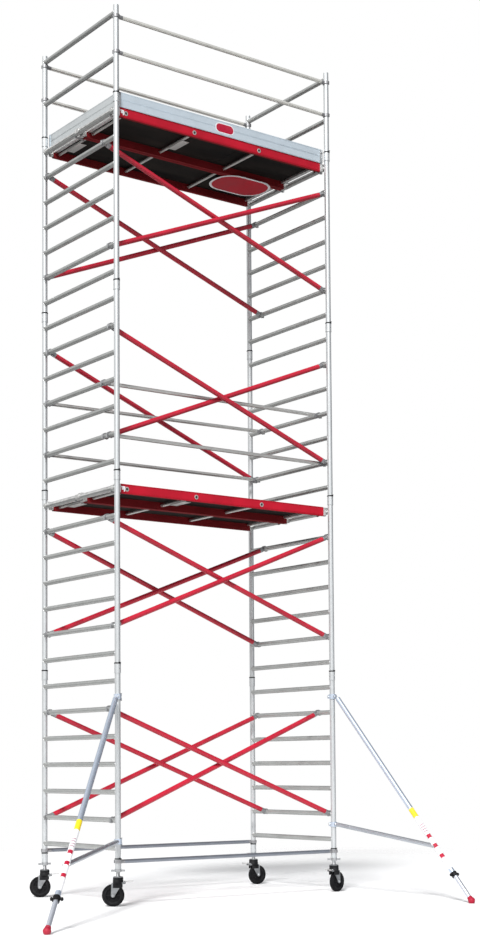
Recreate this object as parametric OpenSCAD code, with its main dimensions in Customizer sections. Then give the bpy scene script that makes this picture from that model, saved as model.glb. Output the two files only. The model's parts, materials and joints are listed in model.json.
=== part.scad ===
// Rolling scaffold tower: ladder frames stacked on castors, two levels of paired scaffold planks
// with hatches, toe boards and guardrails, red diagonal braces and two telescopic stabilisers.
// Millimetres, +Z up. The floor is z = 0.

/* [Tower] */
// Distance between the post centres along a plank
tower_len = 2500; // [2000:50:3000]
// Distance between the post centres across a frame
tower_wid = 1320; // [1200:20:1500]
// Distance between rung centres
rung_pitch = 250; // [230:5:280]
// Height of the lowest rung's centre above the floor
first_rung_z = 515; // [510:5:600]

/* [Tubes] */
// Outer diameter of a post
post_od = 51; // [48:0.5:55]
// Outer diameter of a rung
rung_od = 46; // [40:0.5:48]
// Outer diameter of a diagonal brace
brace_od = 48; // [30:0.5:50]
// Outer diameter of a guardrail
rail_od = 36; // [30:0.5:38]
// Wall of every tube
tube_wall = 2; // [1.5:0.1:3]

/* [Planks] */
// Height of a plank's side rail
plank_rail_h = 88; // [70:2:100]
// Height of a toe board
toe_h = 140; // [100:5:150]
// Thickness of the walking panel
panel_t = 12; // [9:1:15]

/* [Castors] */
// Wheel radius
wheel_r = 100; // [80:5:110]
// Wheel width
wheel_w = 42; // [36:1:46]

/* [Stabilisers] */
// Horizontal reach of the left stabiliser from its post
left_reach = 2380; // [2000:10:2500]
// Horizontal reach of the right stabiliser from its post
right_reach = 1835; // [1500:10:2500]

/* [Hidden] */
$fn = 48;
// The origin is on the floor, midway between the four posts.
origin_x = tower_len / 2;
origin_y = tower_wid / 2;

levels = 4;
rungs_per_frame = 7;
frame_h = rungs_per_frame * rung_pitch;
guard_mid_dz = 490;
guard_top_dz = 915;
guard_post_top_dz = 980;
spigot_h = 40;
spigot_od = 50;

post_r = post_od / 2;
collar_od = 58;
collar_gap = 0.3;
weld_gap = 0.1;
collar_top_dz = -98;
collar_h = 85;
ring_h = 10;

claw_wall = 9;
claw_w = 28;
neck_len = 66;
claw_gap = 0.2;

deck_side = 34;
deck_gap = 8;
deck_wid = (tower_wid - 2 * deck_side - deck_gap) / 2;
rail_w = 30;
rail_end = 60;
rail_top_dz = 46;
panel_top_dz = 42;
panel_gap = 0.2;
cross_first = 128;
cross_pitch = 770;
cross_count = 3;
saddle_t = 6;
cross_od = 30;
hatch_len = 610;
hatch_x0 = 935;
hatch_wid = 470;
hatch_gap = 4;

toe_t = 18;

spindle_r = 17;
spindle_len = 410;
nut_r = 29;
nut_h = 26;
nut_wing = 64;
crown_top_z = 265;
crown_r = 44;
crown_gap = 8;
trail = 44;
axle_r = 6;
pin_gap = 0.05;
fork_t = 5;
fork_gap = 5;
swivel_gap = 0.5;
hub_r = 70;
pedal_x = -57;
pedal_z = 216;
pedal_pin_r = 3;
pedal_len = 76;
pedal_w = 34;

// Heights of the couplers above the lowest rung: [left, right].
stab_top_dz = [1355, 1405];
stab_low_dz = [60, 145];
stab_od = 48;
stab_in_od = 40;
stab_arm_od = 40;
stab_foot_r = 32;
stab_toe_z = 10;
// Places along a stabiliser, from 0 at its top to 1 at its toe.
stab_head = 0.012;
stab_join = 0.747;
stab_clamp = 0.867;
stab_inner = [0.60, 0.988];
stab_ball = 0.992;

corner_names = ["fl", "fr", "rl", "rr"];
corner_xy = [[0, 0], [tower_len, 0], [0, tower_wid], [tower_len, tower_wid]];
swivel_deg = [143.5, 12, 143.5, -5];
nut_deg = [-36, -30, -5, -50];

// Diagonals of each level: [rung at the left, inset at the left, rung at the right, inset at the right, rear].
// Rungs count from the lowest one of the level, and insets run inwards from the post's centre.
diagonals = [
    [[5, 140, 1, 58, false], [1, 80, 5, 226, false], [5, 100, 1, 220, true], [1, 58, 5, 90, true]],
    [[5, 170, 1, 60, false], [1, 60, 5, 58, false], [5, 60, 1, 100, true], [1, 62, 5, 230, true]],
    [[5, 100, 1, 58, false], [1, 200, 5, 90, false], [5, 100, 1, 60, true]],
    [[5, 208, 1, 58, false], [1, 104, 5, 58, false], [5, 72, 1, 202, true], [1, 52, 5, 118, true]]
];
// Guardrails of the lower plank, on the rungs of level 3: [rung, left inset, right inset, rear].
low_rails = [[3, 220, 170, false], [1, 120, 112, false], [3, 70, 200, true], [1, 60, 112, true]];
// Rails that clip onto the posts: [height above the top plank's rung, rear].
top_rails = [[540, false], [876, false], [540, true], [876, true]];
// The front base rail grips the collars, and the rear one the bare posts above them: [front, rear].
base_rail_dz = [-117, -68];

function rung_z(level, n) = first_rung_z + level * frame_h + n * rung_pitch;
upper_z = rung_z(3, 6);
lower_z = rung_z(1, 6);
function across(inset, rear) = rear ? tower_wid - inset : inset;

// ---------- helpers ----------

// A round bar from p to q.
module bar(p, q, r) {
    d = q - p;
    translate(p)
        rotate([0, acos(d[2] / norm(d)), atan2(d[1], d[0])])
            cylinder(r = r, h = norm(d));
}

module tube(p, q, od, wall = tube_wall) {
    d = (q - p) / norm(q - p);
    difference() {
        bar(p, q, od / 2);
        bar(p - d, q + d, od / 2 - wall);
    }
}

// ---------- ladder frames ----------

module collar(x, y, z) {
    translate([x, y, z + collar_top_dz - collar_h])
        difference() {
            cylinder(d = collar_od, h = collar_h);
            translate([0, 0, -1]) cylinder(d = post_od + 2 * collar_gap, h = collar_h - 1);
            translate([0, 0, -1]) cylinder(d = post_od - 2 * tube_wall, h = collar_h + 2);
        }
}

// A rung's ends are cut to the posts' curve, a weld's width away.
module rung(x, z) {
    difference() {
        tube([x, post_r / 2, z], [x, tower_wid - post_r / 2, z], rung_od);
        for (y = [0, tower_wid])
            translate([x, y, z - rung_od]) cylinder(r = post_r + weld_gap, h = 2 * rung_od);
    }
}

module ladder_frame(side, level) {
    x = side * tower_len;
    z = rung_z(level, 0);
    color("lightgray") {
        for (y = [0, tower_wid]) {
            tube([x, y, z + collar_top_dz], [x, y, z + frame_h + collar_top_dz - 3], post_od);
            collar(x, y, z);
        }
        for (n = [0 : rungs_per_frame - 1]) rung(x, z + n * rung_pitch);
    }
}

module guard_frame(side) {
    x = side * tower_len;
    z = upper_z + rung_pitch;
    color("lightgray") {
        for (y = [0, tower_wid]) {
            tube([x, y, z + collar_top_dz], [x, y, upper_z + guard_post_top_dz - spigot_h], post_od);
            // The turned-down tip takes the collar of whatever is stacked on it.
            tube([x, y, upper_z + guard_post_top_dz - spigot_h], [x, y, upper_z + guard_post_top_dz], spigot_od);
            collar(x, y, z);
        }
        for (dz = [guard_mid_dz, guard_top_dz]) rung(x, upper_z + dz);
    }
}

// Spring clip ring that pins an upper frame to the one below.
module locking_ring(x, y, z) {
    outward = y > 0 ? 1 : -1;
    translate([x, y, z + collar_top_dz + 0.5])
        difference() {
            union() {
                cylinder(d = collar_od + 4, h = ring_h);
                translate([-6, outward > 0 ? 0 : -40, 0]) cube([12, 40, ring_h]);
            }
            translate([0, 0, -1]) cylinder(d = post_od + 0.4, h = ring_h + 2);
        }
}

module locking_rings() {
    color("dimgray")
        for (c = corner_xy, level = [0 : levels]) locking_ring(c[0], c[1], rung_z(level, 0));
}

// ---------- braces ----------

function brace_ends(level, d) = [
    [0, across(d[1], d[4]), rung_z(level, d[0])],
    [tower_len, across(d[3], d[4]), rung_z(level, d[2])]
];
function low_rail_ends(r) = [
    [0, across(r[1], r[3]), rung_z(2, r[0])],
    [tower_len, across(r[2], r[3]), rung_z(2, r[0])]
];
function post_rail_ends(z, rear) = [[0, rear ? tower_wid : 0, z], [tower_len, rear ? tower_wid : 0, z]];

module brace_tube(ends, od) {
    d = (ends[1] - ends[0]) / norm(ends[1] - ends[0]);
    tube(ends[0] + d * neck_len, ends[1] - d * neck_len, od);
}

module diagonal_braces(level) {
    color("crimson") for (d = diagonals[level]) brace_tube(brace_ends(level, d), brace_od);
}

module horizontal_braces() {
    color("silver") {
        for (r = low_rails) brace_tube(low_rail_ends(r), rail_od);
        for (r = top_rails) brace_tube(post_rail_ends(upper_z + r[0], r[1]), rail_od);
        for (i = [0, 1]) brace_tube(post_rail_ends(first_rung_z + base_rail_dz[i], i == 1), rail_od);
    }
}

// A cast claw that grips a round bar of radius r: p is on the bar's axis, which runs along Y or Z,
// and q is the far end of the brace that the claw's neck is swaged into.
module claw(p, q, r, neck_r, upright = false) {
    d = (q - p) / norm(q - p);
    mouth_side = q[0] > p[0] ? -1 : 1;
    turn = upright ? [0, 0, 0] : [90, 0, 0];
    difference() {
        union() {
            translate(p) rotate(turn) translate([0, 0, -claw_w / 2]) cylinder(r = r + claw_wall, h = claw_w);
            bar(p + d * r, p + d * neck_len, neck_r);
        }
        translate(p) rotate(turn) translate([0, 0, -50]) cylinder(r = r + claw_gap, h = 100);
        // The mouth opens downwards on a rung, and away from the brace on a post.
        if (upright)
            translate(p + [mouth_side * (r + 30), 0, 0]) cube([60, 1.3 * r, 2 * claw_w], center = true);
        else
            translate(p + [0, 0, -r - 30]) cube([1.5 * r, 2 * claw_w, 60], center = true);
    }
}

module claw_pair(ends, r, neck_r, upright = false) {
    claw(ends[0], ends[1], r, neck_r, upright);
    claw(ends[1], ends[0], r, neck_r, upright);
}

module brace_claws() {
    color("darkgray") {
        for (level = [0 : levels - 1], d = diagonals[level])
            claw_pair(brace_ends(level, d), rung_od / 2, brace_od / 2);
        for (r = low_rails) claw_pair(low_rail_ends(r), rung_od / 2, rail_od / 2);
        for (r = top_rails) claw_pair(post_rail_ends(upper_z + r[0], r[1]), post_r, rail_od / 2, true);
        for (i = [0, 1])
            claw_pair(post_rail_ends(first_rung_z + base_rail_dz[i], i == 1), [collar_od / 2, post_r][i], rail_od / 2, true);
    }
}

// Spring latch that closes a claw's mouth under the rung: a plate beside the claw.
module latch(p, side) {
    t = 4;
    r = rung_od / 2;
    translate(p + [side * (r + claw_wall + t / 2 + 0.3), 0, -4])
        cube([t, claw_w - 8, r + 18], center = true);
}

module claw_latches() {
    color("gray") {
        for (level = [0 : levels - 1], d = diagonals[level], i = [0, 1])
            latch(brace_ends(level, d)[i], i == 0 ? -1 : 1);
        for (r = low_rails, i = [0, 1]) latch(low_rail_ends(r)[i], i == 0 ? -1 : 1);
    }
}

// ---------- planks ----------

function deck_y(rear) = deck_side + (rear ? deck_wid + deck_gap : 0);

module plank_rails(z, rear) {
    y0 = deck_y(rear);
    len = tower_len - 2 * rail_end;
    color("firebrick")
        for (y = [y0, y0 + deck_wid - rail_w])
            translate([rail_end, y, z + rail_top_dz - plank_rail_h])
                difference() {
                    cube([len, rail_w, plank_rail_h]);
                    translate([-1, 3, 3]) cube([len + 2, rail_w - 6, plank_rail_h - 6]);
                    for (i = [0 : cross_count - 1])
                        translate([cross_x(i) - rail_end, -1, plank_rail_h - rail_top_dz])
                            rotate([-90, 0, 0]) cylinder(d = cross_od + 0.2, h = rail_w + 2);
                }
}

function cross_x(i) = cross_first + i * cross_pitch;

module plank_cross_tubes() {
    color("silver")
        for (z = [upper_z, lower_z], rear = [false, true], i = [0 : cross_count - 1]) {
            y = deck_y(rear);
            tube([cross_x(i), y - 1, z], [cross_x(i), y + deck_wid + 1, z], cross_od);
        }
}

// The front plank's panel leaves a hole for the hatch, so it is laid in four pieces.
module plank_panels(z) {
    y0 = deck_y(false) + rail_w;
    wid = deck_wid - 2 * rail_w;
    side = (wid - hatch_wid) / 2;
    x1 = hatch_x0 + hatch_len;
    x_end = tower_len - rail_end;
    color("dimgray") translate([0, 0, z + panel_top_dz - panel_t]) {
        translate([rail_end, y0, 0]) cube([hatch_x0 - rail_end - panel_gap, wid, panel_t]);
        translate([x1 + panel_gap, y0, 0]) cube([x_end - x1 - panel_gap, wid, panel_t]);
        for (y = [y0, y0 + wid - side]) translate([hatch_x0, y, 0]) cube([hatch_len, side, panel_t]);
        translate([rail_end, deck_y(true) + rail_w, 0]) cube([x_end - rail_end, wid, panel_t]);
    }
}

module hatch(z) {
    wid = deck_wid - 2 * rail_w;
    y0 = deck_y(false) + rail_w + (wid - hatch_wid) / 2;
    handle_r = 20;
    color("dimgray")
        translate([hatch_x0 + hatch_gap, y0 + hatch_gap, z + panel_top_dz - panel_t])
            difference() {
                cube([hatch_len - 2 * hatch_gap, hatch_wid - 2 * hatch_gap, panel_t]);
                // A recessed finger pull, with a thin floor left under it.
                translate([hatch_len / 2, hatch_wid - 60, 4]) {
                    translate([-30, 0, 0]) cylinder(r = handle_r, h = panel_t);
                    translate([30, 0, 0]) cylinder(r = handle_r, h = panel_t);
                    translate([-30, -handle_r, 0]) cube([60, 2 * handle_r, panel_t]);
                }
            }
}

hinge_r = 6;
hinge_y = deck_y(false) + rail_w + (deck_wid - 2 * rail_w - hatch_wid) / 2 - hinge_r - 1;
hinge_dz = panel_top_dz + hinge_r + 0.5;

module hatch_hinges() {
    color("gray")
        for (z = [upper_z, lower_z], x = [hatch_x0 + 90, hatch_x0 + hatch_len - 130])
            bar([x, hinge_y, z + hinge_dz], [x + 40, hinge_y, z + hinge_dz], hinge_r);
}

// A cast hook that hangs a rail's end over the rung.
module plank_hook(end, y, z) {
    s = end == 0 ? 1 : -1;
    r = rung_od / 2;
    t = 8;
    top = rail_top_dz - 4;
    translate([end * tower_len, y, z])
        difference() {
            union() {
                rotate([-90, 0, 0]) cylinder(r = r + t, h = rail_w);
                translate([s > 0 ? 0 : -rail_end, 0, -34]) cube([rail_end, rail_w, 34 + top]);
                translate([s > 0 ? -r - t : 0, 0, 0]) cube([r + t, rail_w, r + 2]);
            }
            translate([0, -1, 0]) rotate([-90, 0, 0]) cylinder(r = r + claw_gap, h = rail_w + 2);
            translate([-r - claw_gap, -1, -60]) cube([2 * r + 2 * claw_gap, rail_w + 2, 60]);
            translate([s > 0 ? -60 : 0, -1, -60]) cube([60, rail_w + 2, 60 - 12]);
        }
}

// The half-round saddle that rests on the rung between a plank's two hooks.
module end_saddle(end, rear, z) {
    len = deck_wid - 2 * rail_w - 2 * panel_gap;
    r = rung_od / 2 + claw_gap;
    translate([end * tower_len, deck_y(rear) + rail_w + panel_gap, z]) rotate([-90, 0, 0])
        difference() {
            cylinder(r = r + saddle_t, h = len);
            translate([0, 0, -1]) cylinder(r = r, h = len + 2);
            translate([-rung_od, 0, -1]) cube([2 * rung_od, 2 * rung_od, len + 2]);
        }
}

module plank_hooks() {
    color("silver")
        for (z = [upper_z, lower_z], rear = [false, true], end = [0, 1]) {
            for (side = [0, 1]) plank_hook(end, deck_y(rear) + side * (deck_wid - rail_w), z);
            end_saddle(end, rear, z);
        }
}

// Sliding catches that reach under the rung, so that wind can't lift a plank.
module wind_locks() {
    color("gray")
        for (z = [upper_z, lower_z], rear = [false, true], end = [0, 1])
            translate([end * tower_len, deck_y(rear) + rail_w + 20, z - rung_od / 2 - 10]) {
                translate([end == 0 ? -16 : -88, 0, 0]) cube([104, 26, 6]);
                translate([end == 0 ? 80 : -88, 0, -14]) cube([8, 26, 14]);
            }
}

// ---------- toe boards ----------

toe_z = upper_z + rail_top_dz + 1;
toe_x0 = 34;

module toe_boards_long() {
    color("lightsteelblue")
        for (y = [deck_side - 6, tower_wid - deck_side + 6 - toe_t])
            translate([toe_x0, y, toe_z]) cube([tower_len - 2 * toe_x0, toe_t, toe_h]);
}

module toe_boards_short() {
    len = tower_wid - 2 * (deck_side - 6 + toe_t) - 2;
    color("lightgray")
        for (x = [toe_x0 + 4, tower_len - toe_x0 - 4 - toe_t])
            translate([x, deck_side - 6 + toe_t + 1, toe_z]) cube([toe_t, len, toe_h]);
}

module toe_board_clips() {
    w = 26;
    color("gray")
        for (c = corner_xy) {
            sx = c[0] > 0 ? -1 : 1;
            y = c[1] > 0 ? tower_wid - deck_side + 6.5 : deck_side - 6.5 - 5;
            x = sx > 0 ? toe_x0 : tower_len - toe_x0 - w;
            translate([x, y, toe_z + 30]) cube([w, 5, toe_h - 60]);
        }
}

// ---------- castors ----------

module castor_leg(i) {
    color("silver") translate([corner_xy[i][0], corner_xy[i][1], crown_top_z + swivel_gap])
        cylinder(r = spindle_r, h = spindle_len);
}

// The nuts that each frame post rests on; turning one raises or lowers its corner.
module wing_nuts() {
    top = first_rung_z + collar_top_dz - collar_h - 0.5;
    color("silver")
        for (i = [0 : 3])
            translate([corner_xy[i][0], corner_xy[i][1], top - nut_h]) rotate(nut_deg[i])
                difference() {
                    union() {
                        cylinder(r = nut_r, h = nut_h);
                        translate([-nut_wing, -6, 4]) cube([2 * nut_wing, 12, nut_h - 8]);
                    }
                    translate([0, 0, -1]) cylinder(r = spindle_r + pin_gap, h = nut_h + 2);
                }
}

module castor_frame(i) {
    translate([corner_xy[i][0], corner_xy[i][1], 0]) rotate(swivel_deg[i]) children();
}

// One cheek of the fork, with the ear that holds the brake pedal's pin.
module fork_cheek(bottom) {
    linear_extrude(fork_t)
        union() {
            polygon([[-40, bottom], [trail + 14, bottom], [trail + 18, wheel_r], [trail - 18, wheel_r]]);
            translate([trail, wheel_r]) circle(r = 18);
            translate([pedal_x - 9, bottom - 8]) square([30, pedal_z - bottom + 8]);
            translate([pedal_x, pedal_z]) circle(r = 9);
        }
}

module castor_fork(i) {
    inner = wheel_w / 2 + fork_gap;
    bottom = 2 * wheel_r + crown_gap;
    color("darkgray") castor_frame(i) {
        translate([0, 0, bottom]) cylinder(r = crown_r, h = crown_top_z - bottom);
        translate([-46, -inner - fork_t, bottom - fork_t]) cube([92, 2 * (inner + fork_t), fork_t]);
        for (s = [-1, 1])
            translate([0, s * (inner + fork_t / 2) + fork_t / 2, 0]) rotate([90, 0, 0]) fork_cheek(bottom);
        translate([trail, -inner - fork_t - 6, wheel_r]) rotate([-90, 0, 0])
            cylinder(r = axle_r, h = 2 * (inner + fork_t) + 12);
        translate([pedal_x, -inner - fork_t, pedal_z]) rotate([-90, 0, 0])
            cylinder(r = pedal_pin_r, h = 2 * (inner + fork_t));
    }
}

module castor_wheel(i) {
    tread_w = wheel_w - 8;
    bore_r = axle_r + pin_gap;
    color("black") castor_frame(i) translate([trail, 0, wheel_r]) rotate([90, 0, 0]) {
        rotate_extrude($fn = 96) polygon([
            [hub_r + 0.1, -tread_w / 2], [wheel_r - 6, -tread_w / 2], [wheel_r, -tread_w / 2 + 8],
            [wheel_r, tread_w / 2 - 8], [wheel_r - 6, tread_w / 2], [hub_r + 0.1, tread_w / 2]
        ]);
        rotate_extrude($fn = 96) polygon([
            [bore_r, -wheel_w / 2], [24, -wheel_w / 2], [30, -10], [56, -10], [62, -15], [hub_r, -15],
            [hub_r, 15], [62, 15], [56, 10], [30, 10], [24, wheel_w / 2], [bore_r, wheel_w / 2]
        ]);
    }
}

module castor_brake(i) {
    color("silver") castor_frame(i) translate([pedal_x, -pedal_w / 2, pedal_z])
        difference() {
            union() {
                rotate([-90, 0, 0]) cylinder(r = 7, h = pedal_w);
                translate([-pedal_len, 0, 2]) cube([pedal_len, pedal_w, 5]);
                translate([-pedal_len, 0, 2]) cube([6, pedal_w, 14]);
            }
            translate([0, -1, 0]) rotate([-90, 0, 0]) cylinder(r = pedal_pin_r + pin_gap, h = pedal_w + 2);
        }
}

// ---------- stabilisers ----------

stab_corner = [[0, 0], [tower_len, 0]];
stab_deg = [225, 272.6];
stab_reach = [left_reach, right_reach];
stab_off = post_r + 34;

function stab_dir(i) = [cos(stab_deg[i]), sin(stab_deg[i]), 0];
function stab_post(i) = [stab_corner[i][0], stab_corner[i][1], 0];
function stab_top(i) = stab_post(i) + stab_dir(i) * stab_off + [0, 0, first_rung_z + stab_top_dz[i]];
function stab_toe(i) = stab_post(i) + stab_dir(i) * stab_reach[i] + [0, 0, stab_toe_z];
function stab_at(i, t) = stab_top(i) + (stab_toe(i) - stab_top(i)) * t;

// Two half shells that clamp round the post, with an ear on the stabiliser's side.
module post_coupler(i, z) {
    h = 46;
    translate(stab_post(i) + [0, 0, z - h / 2]) rotate(stab_deg[i])
        difference() {
            union() {
                cylinder(r = post_r + 9, h = h);
                translate([-post_r - 30, -14, 6]) cube([30, 28, h - 12]);
                translate([post_r, -12, 4]) cube([26, 24, h - 8]);
            }
            translate([0, 0, -1]) cylinder(r = post_r + 0.3, h = h + 2);
            translate([-post_r - 31, -1, -1]) cube([40, 2, h + 2]);
        }
}

module stabiliser_outer_tube(i) {
    color("lightsteelblue") {
        tube(stab_at(i, stab_head), stab_at(i, stab_clamp), stab_od, 3.5);
        for (dz = [stab_top_dz[i], stab_low_dz[i]]) post_coupler(i, first_rung_z + dz);
    }
}

// The arm runs from the lower coupler's ear to the back of the tube, and its end is cut to the tube's curve.
module stabiliser_arm(i) {
    from = stab_post(i) + stab_dir(i) * (stab_off - 6) + [0, 0, first_rung_z + stab_low_dz[i]];
    color("silver")
        difference() {
            tube(from, stab_at(i, stab_join), stab_arm_od);
            bar(stab_at(i, stab_join - 0.1), stab_at(i, stab_join + 0.1), stab_od / 2 + 0.2);
        }
}

// The clamp that locks the telescope, with its tightening bolt across.
module stabiliser_clamp(i) {
    a = stab_at(i, stab_clamp + 0.001);
    b = stab_at(i, stab_clamp + 0.017);
    side = [-sin(stab_deg[i]), cos(stab_deg[i]), 0];
    mid = (a + b) / 2;
    color("dimgray")
        difference() {
            union() {
                bar(a, b, stab_od / 2 + 6);
                bar(mid - side * 38, mid + side * 42, 9);
            }
            bar(stab_at(i, stab_clamp - 0.05), stab_at(i, stab_clamp + 0.05), stab_in_od / 2 + 0.3);
        }
}

module stabiliser_inner_tube(i) {
    color("silver") tube(stab_at(i, stab_inner[0]), stab_at(i, stab_inner[1]), stab_in_od, 2.5);
}

// Rubber ball foot pushed on the end of the inner tube, flat where it stands on the floor.
module stabiliser_foot(i) {
    ball = stab_at(i, stab_ball);
    color("crimson")
        difference() {
            translate(ball) sphere(r = stab_foot_r);
            translate([ball[0] - 50, ball[1] - 50, -100]) cube([100, 100, 100]);
            bar(stab_at(i, 0.9), stab_at(i, stab_inner[1]), stab_in_od / 2 + 0.1);
        }
}

// ---------- assembly ----------

module show(name) {
    translate([-origin_x, -origin_y, 0]) children();
}

for (side = [0, 1], level = [0 : levels - 1])
    show(str("frame_", side == 0 ? "left" : "right", "_", level + 1)) ladder_frame(side, level);
for (side = [0, 1]) show(str("guard_frame_", side == 0 ? "left" : "right")) guard_frame(side);
show("locking_rings") locking_rings();
for (level = [0 : levels - 1]) show(str("diagonal_braces_", level + 1)) diagonal_braces(level);
show("horizontal_braces") horizontal_braces();
show("brace_claws") brace_claws();
show("claw_latches") claw_latches();
show("plank_rails_upper_front") plank_rails(upper_z, false);
show("plank_rails_upper_rear") plank_rails(upper_z, true);
show("plank_rails_lower_front") plank_rails(lower_z, false);
show("plank_rails_lower_rear") plank_rails(lower_z, true);
show("plank_panels_upper") plank_panels(upper_z);
show("plank_panels_lower") plank_panels(lower_z);
show("plank_cross_tubes") plank_cross_tubes();
show("plank_hooks") plank_hooks();
show("toe_boards_long") toe_boards_long();
show("toe_boards_short") toe_boards_short();
show("toe_board_clips") toe_board_clips();
show("hatch_upper") hatch(upper_z);
show("hatch_lower") hatch(lower_z);
show("hatch_hinges") hatch_hinges();
show("wind_locks") wind_locks();
show("wing_nuts") wing_nuts();
for (i = [0 : 3]) {
    show(str("castor_leg_", corner_names[i])) castor_leg(i);
    show(str("castor_fork_", corner_names[i])) castor_fork(i);
    show(str("castor_wheel_", corner_names[i])) castor_wheel(i);
    show(str("castor_brake_", corner_names[i])) castor_brake(i);
}
for (i = [0, 1]) {
    side = i == 0 ? "left" : "right";
    show(str("stabiliser_outer_tube_", side)) stabiliser_outer_tube(i);
    show(str("stabiliser_arm_", side)) stabiliser_arm(i);
    show(str("stabiliser_clamp_", side)) stabiliser_clamp(i);
    show(str("stabiliser_inner_tube_", side)) stabiliser_inner_tube(i);
    show(str("stabiliser_foot_", side)) stabiliser_foot(i);
}
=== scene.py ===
"""Looks of a rolling scaffold tower: a material for every CAD node, and small pieces that ride on it."""
import json
import math

import bmesh
import bpy
from mathutils import Matrix, Vector


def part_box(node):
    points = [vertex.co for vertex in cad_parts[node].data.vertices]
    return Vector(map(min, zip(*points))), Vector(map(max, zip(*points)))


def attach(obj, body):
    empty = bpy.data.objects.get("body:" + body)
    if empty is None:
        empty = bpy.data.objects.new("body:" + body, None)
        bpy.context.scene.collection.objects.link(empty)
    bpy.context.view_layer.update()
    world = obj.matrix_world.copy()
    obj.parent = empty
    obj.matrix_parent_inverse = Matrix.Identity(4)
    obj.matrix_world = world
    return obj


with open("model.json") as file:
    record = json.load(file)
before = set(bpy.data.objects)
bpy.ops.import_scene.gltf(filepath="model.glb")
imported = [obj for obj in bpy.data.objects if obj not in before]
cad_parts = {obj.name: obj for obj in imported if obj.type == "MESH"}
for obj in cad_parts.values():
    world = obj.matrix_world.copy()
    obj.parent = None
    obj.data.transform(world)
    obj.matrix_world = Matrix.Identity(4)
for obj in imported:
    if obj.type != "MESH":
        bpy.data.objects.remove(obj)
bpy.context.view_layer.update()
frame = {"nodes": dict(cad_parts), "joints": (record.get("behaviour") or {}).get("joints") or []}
nodes = frame["nodes"]

# ---------- places, worked out from the frame ----------

MM = 0.001
CORNERS = ("fl", "fr", "rl", "rr")
SIDES = ("left", "right")


def middle(node):
    low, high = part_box(node)
    return (low + high) / 2


post = {c: middle("castor_leg_" + c) for c in CORNERS}
X0, X1 = post["fl"].x, post["fr"].x
Y0, Y1 = post["fl"].y, post["rl"].y
FRAME_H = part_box("frame_left_2")[0].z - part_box("frame_left_1")[0].z
RUNGS_PER_FRAME = 7
RUNG_COUNT = 4 * RUNGS_PER_FRAME
PITCH = FRAME_H / RUNGS_PER_FRAME
COLLAR_DROP = 183 * MM
COLLAR_TOP_DROP = 98 * MM
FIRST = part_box("frame_left_1")[0].z + COLLAR_DROP
UPPER = FIRST + (RUNG_COUNT - 1) * PITCH
LOWER = FIRST + 13 * PITCH
POST_R = 25.5 * MM
RUNG_R = 23 * MM
COLLAR_R = 29 * MM
GUARD_RUNGS = (490 * MM, 915 * MM)
RUNG_HEIGHTS = [FIRST + k * PITCH for k in range(RUNG_COUNT)] + [UPPER + dz for dz in GUARD_RUNGS]

# ---------- material nodes ----------


def new_material(name):
    m = bpy.data.materials.new(name)
    m.use_nodes = True
    tree = m.node_tree
    return m, tree, tree.nodes["Principled BSDF"]


def add(tree, kind, **settings):
    n = tree.nodes.new(kind)
    for key, value in settings.items():
        setattr(n, key, value)
    return n


def stretched(tree, stretch):
    """Object coordinates scaled per axis: a small scale along an axis draws the grain out along it."""
    coords = add(tree, "ShaderNodeTexCoord")
    mapping = add(tree, "ShaderNodeMapping")
    mapping.inputs["Scale"].default_value = stretch
    tree.links.new(coords.outputs["Object"], mapping.inputs["Vector"])
    return mapping.outputs["Vector"]


def noise(tree, vector, scale, detail=4.0, rough=0.55):
    n = add(tree, "ShaderNodeTexNoise")
    n.inputs["Scale"].default_value = scale
    n.inputs["Detail"].default_value = detail
    n.inputs["Roughness"].default_value = rough
    tree.links.new(vector, n.inputs["Vector"])
    return n.outputs["Fac"]


def ramp(tree, fac, stops):
    r = add(tree, "ShaderNodeValToRGB")
    tree.links.new(fac, r.inputs["Fac"])
    elements = r.color_ramp.elements
    while len(elements) < len(stops):
        elements.new(0.5)
    for e, (place, color) in zip(elements, stops):
        e.position = place
        e.color = (*color, 1)
    return r.outputs["Color"]


def to_range(tree, fac, low, high, from_low=0.3, from_high=0.7):
    r = add(tree, "ShaderNodeMapRange")
    for key, value in (("From Min", from_low), ("From Max", from_high), ("To Min", low), ("To Max", high)):
        r.inputs[key].default_value = value
    tree.links.new(fac, r.inputs["Value"])
    return r.outputs["Result"]


def mix(tree, fac, a, b):
    n = add(tree, "ShaderNodeMix", data_type="RGBA")
    tree.links.new(fac, n.inputs["Factor"])
    for value, socket in ((a, n.inputs[6]), (b, n.inputs[7])):
        if isinstance(value, tuple):
            socket.default_value = (*value, 1)
        else:
            tree.links.new(value, socket)
    return n.outputs[2]


def bump(tree, shader, height, strength, distance, under=None):
    n = add(tree, "ShaderNodeBump")
    n.inputs["Strength"].default_value = strength
    n.inputs["Distance"].default_value = distance
    tree.links.new(height, n.inputs["Height"])
    if under is not None:
        tree.links.new(under, n.inputs["Normal"])
    tree.links.new(n.outputs["Normal"], shader.inputs["Normal"])
    return n.outputs["Normal"]


def scaled(color, k):
    return tuple(min(1.0, c * k) for c in color)


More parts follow.
